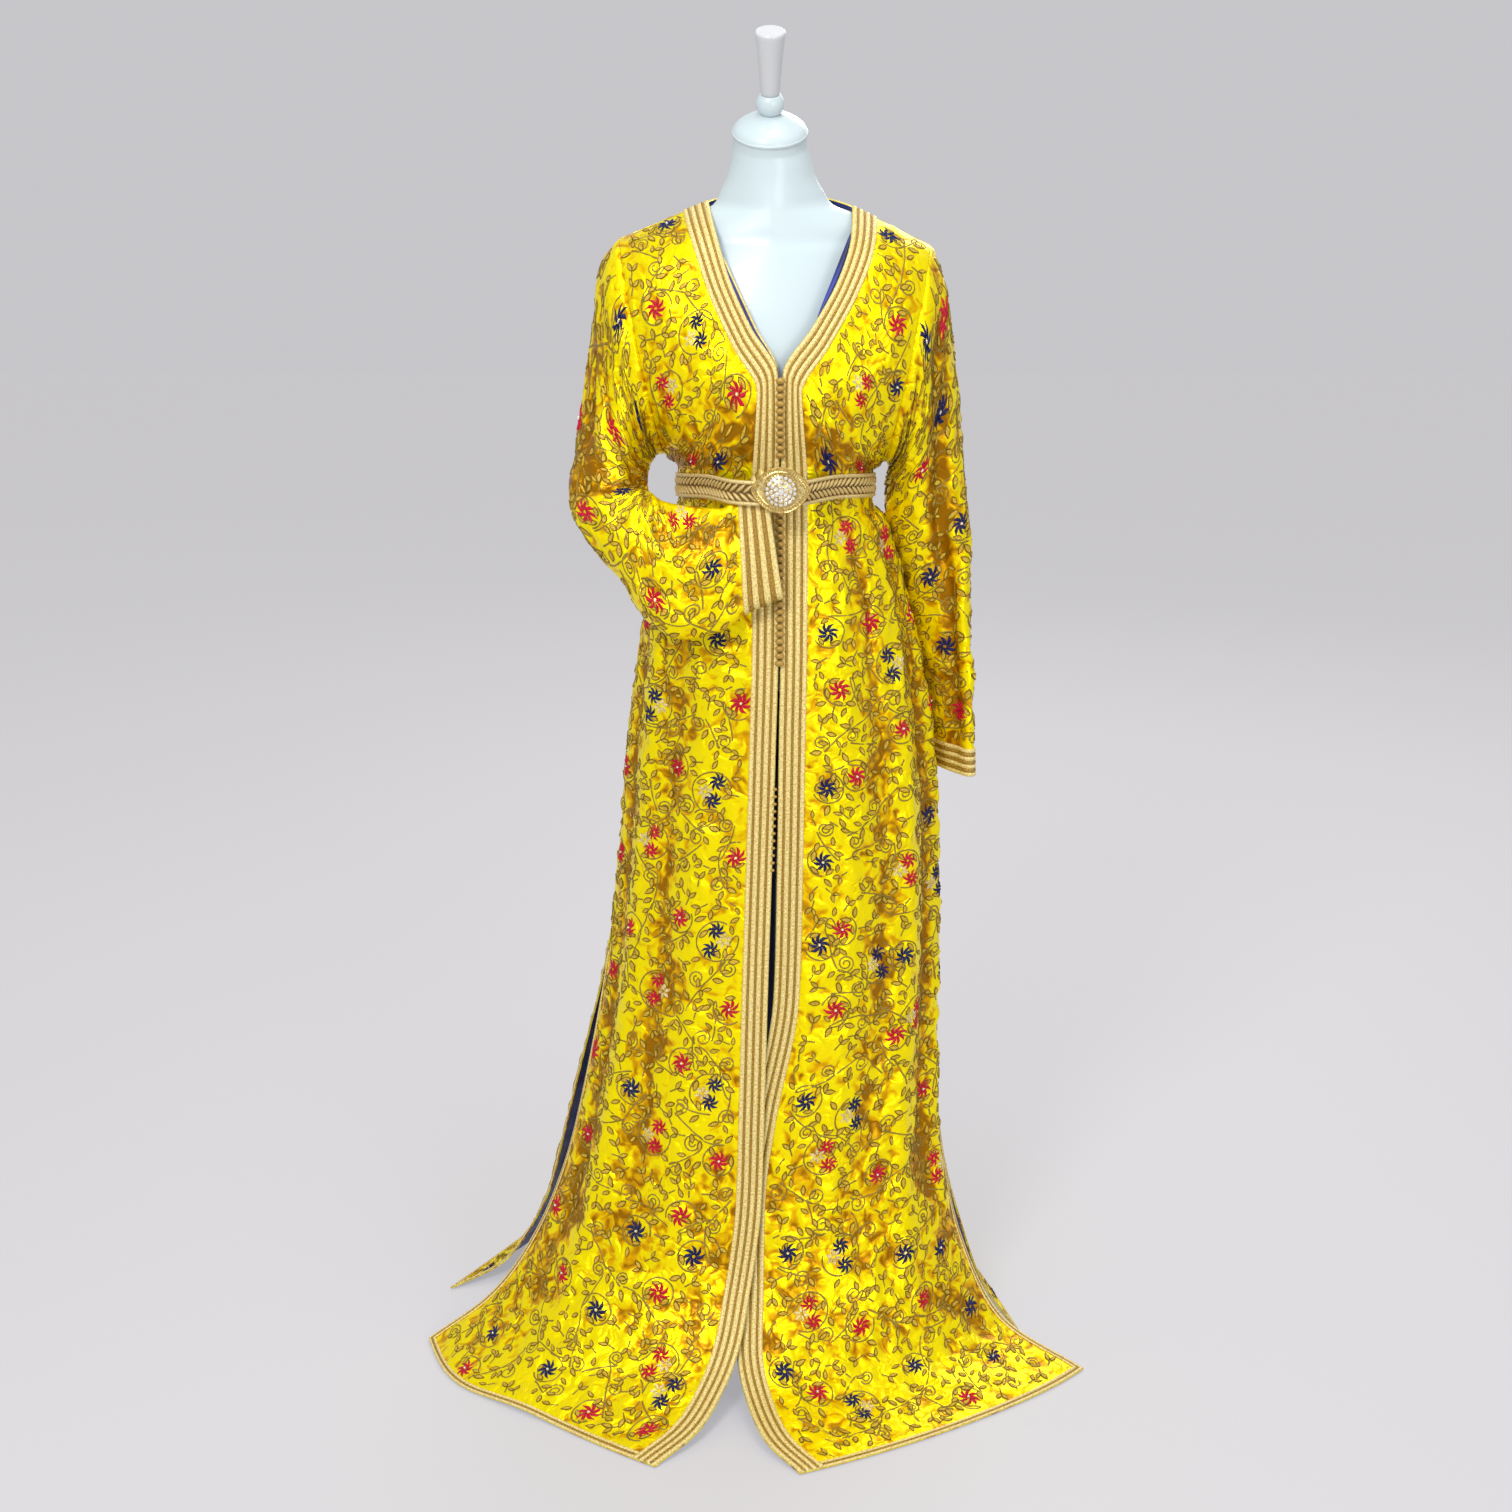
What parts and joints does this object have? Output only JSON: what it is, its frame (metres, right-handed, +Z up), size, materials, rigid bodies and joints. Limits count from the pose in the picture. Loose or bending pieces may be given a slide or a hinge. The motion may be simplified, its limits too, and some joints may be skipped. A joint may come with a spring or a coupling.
{
  "type": "embroidered moroccan kaftan on a limbless dress form with pole stand",
  "caption": "Floor-length open-front kaftan with corded trims, knot buttons, side slits and a braided plate belt, worn on a limbless dress form with a pole stand.",
  "frame": {"origin": "centre of the stand base's underside, on the floor", "axes": "+Z up along the pole and form, -Y out of the kaftan's front, +X towards the wearer's left"},
  "size_m": [0.8392, 0.848, 1.6369],
  "materials": {
    "yellow_satin": "satin cloth with embroidery",
    "gold_cord": "metallic thread cord",
    "gold_braid": "plaited metallic braid",
    "gilt_plate": "gilt with clear stones",
    "white_gloss": "glossy",
    "grey_gloss": "glossy",
    "stand_steel": "brushed"
  },
  "bodies": {
    "root": {"front_right": "yellow_satin", "front_left": "yellow_satin", "back": "yellow_satin", "sleeve_right": "yellow_satin", "sleeve_left": "yellow_satin", "front_trim_right": "gold_cord", "front_trim_left": "gold_cord", "neck_trim_back": "gold_cord", "cuff_trim_right": "gold_cord", "cuff_trim_left": "gold_cord", "edge_trim_right": "gold_cord", "edge_trim_left": "gold_cord", "edge_trim_back": "gold_cord", "knot_01": "gold_cord", "knot_02": "gold_cord", "knot_03": "gold_cord", "knot_04": "gold_cord", "knot_05": "gold_cord", "knot_06": "gold_cord", "knot_07": "gold_cord", "knot_08": "gold_cord", "knot_09": "gold_cord", "knot_10": "gold_cord", "knot_11": "gold_cord", "knot_12": "gold_cord", "knot_13": "gold_cord", "knot_14": "gold_cord", "knot_15": "gold_cord", "knot_16": "gold_cord", "knot_17": "gold_cord", "knot_18": "gold_cord", "knot_19": "gold_cord", "knot_20": "gold_cord", "knot_21": "gold_cord", "knot_22": "gold_cord", "knot_23": "gold_cord", "knot_24": "gold_cord", "knot_25": "gold_cord", "knot_26": "gold_cord", "knot_27": "gold_cord", "knot_28": "gold_cord", "knot_29": "gold_cord", "knot_30": "gold_cord", "knot_31": "gold_cord", "knot_32": "gold_cord", "belt": "gold_braid", "belt_plate": "gilt_plate", "form_torso": "white_gloss", "neck_cap": "white_gloss", "finial_ball": "white_gloss", "finial": "grey_gloss", "stand_pole": "stand_steel", "stand_base": "stand_steel"}
  },
  "joints": []
}
